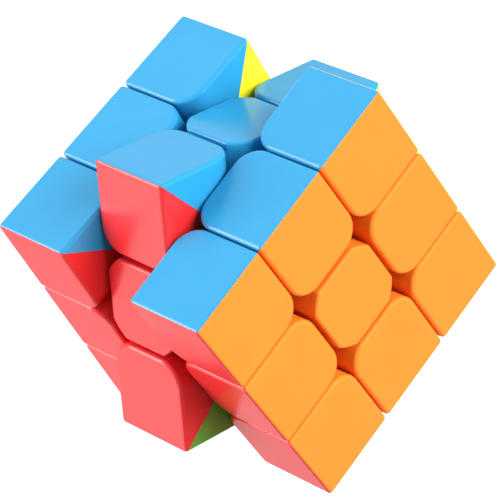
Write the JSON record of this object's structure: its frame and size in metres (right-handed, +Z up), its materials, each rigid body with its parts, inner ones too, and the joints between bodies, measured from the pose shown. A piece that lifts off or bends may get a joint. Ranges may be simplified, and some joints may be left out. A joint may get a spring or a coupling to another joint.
{
  "type": "twisty puzzle cube",
  "caption": "Stickerless three-layer twisty puzzle cube with coloured shells, a sprung six-armed core and its middle slice part way through a turn.",
  "frame": {"origin": "centre of the cube's resting face, the white side", "axes": "+Z up along the turning axis of the three layers, towards the orange side; +X towards the red side and -Y towards the blue side of the orange layer"},
  "size_m": [0.077, 0.077, 0.056],
  "materials": {
    "red_plastic": "satin",
    "green_plastic": "satin",
    "yellow_plastic": "satin",
    "blue_plastic": "satin",
    "orange_plastic": "satin",
    "white_plastic": "satin",
    "core_plastic": "fine matte",
    "screw_steel": "zinc plated",
    "spring_steel": "drawn wire"
  },
  "bodies": {
    "middle_slice": {"core": "core_plastic", "tension_screws": "screw_steel", "screw_washers": "screw_steel", "slice_red_green_edge_foot": "red_plastic", "slice_green_yellow_edge_foot": "green_plastic", "slice_yellow_blue_edge_foot": "yellow_plastic", "slice_blue_red_edge_foot": "blue_plastic", "red_center_spring": "spring_steel", "green_center_spring": "spring_steel", "yellow_center_spring": "spring_steel", "blue_center_spring": "spring_steel", "orange_center_spring": "spring_steel", "white_center_spring": "spring_steel", "slice_red_green_edge_red_shell": "red_plastic", "slice_green_yellow_edge_green_shell": "green_plastic", "slice_yellow_blue_edge_yellow_shell": "yellow_plastic", "slice_blue_red_edge_blue_shell": "blue_plastic", "slice_red_green_edge_green_shell": "green_plastic", "slice_green_yellow_edge_yellow_shell": "yellow_plastic", "slice_yellow_blue_edge_blue_shell": "blue_plastic", "slice_blue_red_edge_red_shell": "red_plastic"},
    "orange_layer": {"orange_edge_shells": "orange_plastic", "orange_corner_shells": "orange_plastic", "orange_layer_edge_feet": "orange_plastic", "orange_layer_corner_feet": "orange_plastic", "orange_layer_red_edge_shell": "red_plastic", "orange_layer_green_edge_shell": "green_plastic", "orange_layer_yellow_edge_shell": "yellow_plastic", "orange_layer_blue_edge_shell": "blue_plastic", "orange_layer_red_corner_shells": "red_plastic", "orange_layer_green_corner_shells": "green_plastic", "orange_layer_yellow_corner_shells": "yellow_plastic", "orange_layer_blue_corner_shells": "blue_plastic"},
    "white_layer": {"white_edge_shells": "white_plastic", "white_corner_shells": "white_plastic", "white_layer_edge_feet": "white_plastic", "white_layer_corner_feet": "white_plastic", "white_layer_red_edge_shell": "red_plastic", "white_layer_green_edge_shell": "green_plastic", "white_layer_yellow_edge_shell": "yellow_plastic", "white_layer_blue_edge_shell": "blue_plastic", "white_layer_red_corner_shells": "red_plastic", "white_layer_green_corner_shells": "green_plastic", "white_layer_yellow_corner_shells": "yellow_plastic", "white_layer_blue_corner_shells": "blue_plastic"},
    "red_center": {"red_center_base": "red_plastic", "red_center_cap": "red_plastic"},
    "green_center": {"green_center_base": "green_plastic", "green_center_cap": "green_plastic"},
    "yellow_center": {"yellow_center_base": "yellow_plastic", "yellow_center_cap": "yellow_plastic"},
    "blue_center": {"blue_center_base": "blue_plastic", "blue_center_cap": "blue_plastic"},
    "orange_center": {"orange_center_base": "orange_plastic", "orange_center_cap": "orange_plastic"},
    "white_center": {"white_center_base": "white_plastic", "white_center_cap": "white_plastic"}
  },
  "joints": [
    {"name": "orange_layer_turn", "type": "hinge", "parent": "middle_slice", "child": "orange_layer", "pos_m": [0, 0, 0.028], "axis": [0, 0, 1], "continuous": true},
    {"name": "white_layer_turn", "type": "hinge", "parent": "middle_slice", "child": "white_layer", "pos_m": [0, 0, 0.028], "axis": [0, 0, -1], "continuous": true},
    {"name": "red_center_float", "type": "slide", "parent": "middle_slice", "child": "red_center", "axis": [0.8526, -0.5225, 0], "range_m": [0, 0.0008], "stiffness_N_per_m": 800, "springref_m": -0.003, "deforming": ["red_center_spring"]},
    {"name": "green_center_float", "type": "slide", "parent": "middle_slice", "child": "green_center", "axis": [0.5225, 0.8526, 0], "range_m": [0, 0.0008], "stiffness_N_per_m": 800, "springref_m": -0.003, "deforming": ["green_center_spring"]},
    {"name": "yellow_center_float", "type": "slide", "parent": "middle_slice", "child": "yellow_center", "axis": [-0.8526, 0.5225, 0], "range_m": [0, 0.0008], "stiffness_N_per_m": 800, "springref_m": -0.003, "deforming": ["yellow_center_spring"]},
    {"name": "blue_center_float", "type": "slide", "parent": "middle_slice", "child": "blue_center", "axis": [-0.5225, -0.8526, 0], "range_m": [0, 0.0008], "stiffness_N_per_m": 800, "springref_m": -0.003, "deforming": ["blue_center_spring"]},
    {"name": "orange_center_float", "type": "slide", "parent": "orange_layer", "child": "orange_center", "axis": [0, 0, 1], "range_m": [0, 0.0008], "stiffness_N_per_m": 800, "springref_m": -0.003, "deforming": ["orange_center_spring"]},
    {"name": "white_center_float", "type": "slide", "parent": "white_layer", "child": "white_center", "axis": [0, 0, -1], "range_m": [0, 0.0008], "stiffness_N_per_m": 800, "springref_m": -0.003, "deforming": ["white_center_spring"]}
  ]
}
